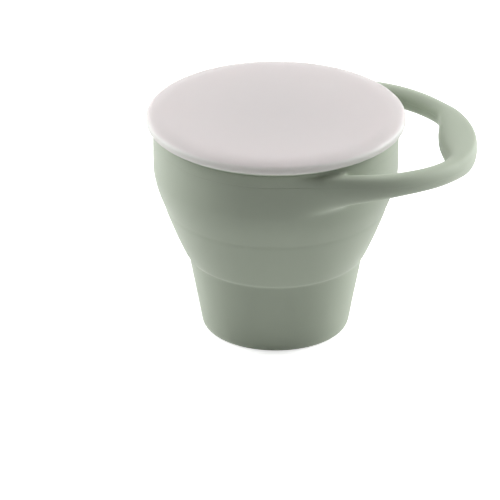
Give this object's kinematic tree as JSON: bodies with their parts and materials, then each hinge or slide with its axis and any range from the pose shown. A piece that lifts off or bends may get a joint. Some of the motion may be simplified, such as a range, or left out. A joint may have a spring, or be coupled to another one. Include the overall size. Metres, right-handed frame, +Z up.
{
  "type": "collapsible snack cup",
  "caption": "Soft folding snack cup for a toddler, with a loop handle and grip, a push-in lid with curved slit flaps, and a frosted press-on cover.",
  "frame": {"origin": "centre of the foot's underside, on the cup's axis", "axes": "+Z up along the cup's axis, +X towards the handle, +Y to the left of the handle"},
  "size_m": [0.1217, 0.095, 0.0861],
  "materials": {
    "cup_silicone": "matte sage green silicone",
    "lid_silicone": "matte sage green silicone, a little thinner",
    "cover_frost": "frosted translucent, faintly pink white"
  },
  "bodies": {
    "base": {"base_cup": "cup_silicone", "fold_web": "cup_silicone"},
    "rim": {"rim_band": "cup_silicone", "handle": "cup_silicone"},
    "lid": {"lid_ring": "lid_silicone"},
    "flap_1": {"flap_1": "lid_silicone"},
    "flap_2": {"flap_2": "lid_silicone"},
    "flap_3": {"flap_3": "lid_silicone"},
    "flap_4": {"flap_4": "lid_silicone"},
    "flap_5": {"flap_5": "lid_silicone"},
    "flap_6": {"flap_6": "lid_silicone"},
    "cover": {"cover": "cover_frost"}
  },
  "joints": [
    {"name": "collapse", "type": "slide", "parent": "base", "child": "rim", "axis": [0, 0, -1], "range_m": [0, 0.048], "deforming": ["fold_web"]},
    {"name": "lid_lift", "type": "slide", "parent": "rim", "child": "lid", "axis": [0, 0, 1], "range_m": [0, 0.04]},
    {"name": "flap_1_bend", "type": "hinge", "parent": "lid", "child": "flap_1", "pos_m": [0.01883, 0.02689, 0.0796], "axis": [0.8192, -0.5736, 0], "range_deg": [0, 60], "stiffness_Nm_per_rad": 0.02},
    {"name": "flap_2_bend", "type": "hinge", "parent": "lid", "child": "flap_2", "pos_m": [-0.01387, 0.02975, 0.0796], "axis": [0.9063, 0.4226, 0], "range_deg": [0, 60], "stiffness_Nm_per_rad": 0.02},
    {"name": "flap_3_bend", "type": "hinge", "parent": "lid", "child": "flap_3", "pos_m": [-0.0327, 0.00286, 0.0796], "axis": [0.0872, 0.9962, 0], "range_deg": [0, 60], "stiffness_Nm_per_rad": 0.02},
    {"name": "flap_4_bend", "type": "hinge", "parent": "lid", "child": "flap_4", "pos_m": [-0.01883, -0.02689, 0.0796], "axis": [-0.8192, 0.5736, 0], "range_deg": [0, 60], "stiffness_Nm_per_rad": 0.02},
    {"name": "flap_5_bend", "type": "hinge", "parent": "lid", "child": "flap_5", "pos_m": [0.01387, -0.02975, 0.0796], "axis": [-0.9063, -0.4226, 0], "range_deg": [0, 60], "stiffness_Nm_per_rad": 0.02},
    {"name": "flap_6_bend", "type": "hinge", "parent": "lid", "child": "flap_6", "pos_m": [0.0327, -0.00286, 0.0796], "axis": [-0.0872, -0.9962, 0], "range_deg": [0, 60], "stiffness_Nm_per_rad": 0.02},
    {"name": "cover_lift", "type": "slide", "parent": "lid", "child": "cover", "axis": [0, 0, 1], "range_m": [0, 0.03]}
  ]
}
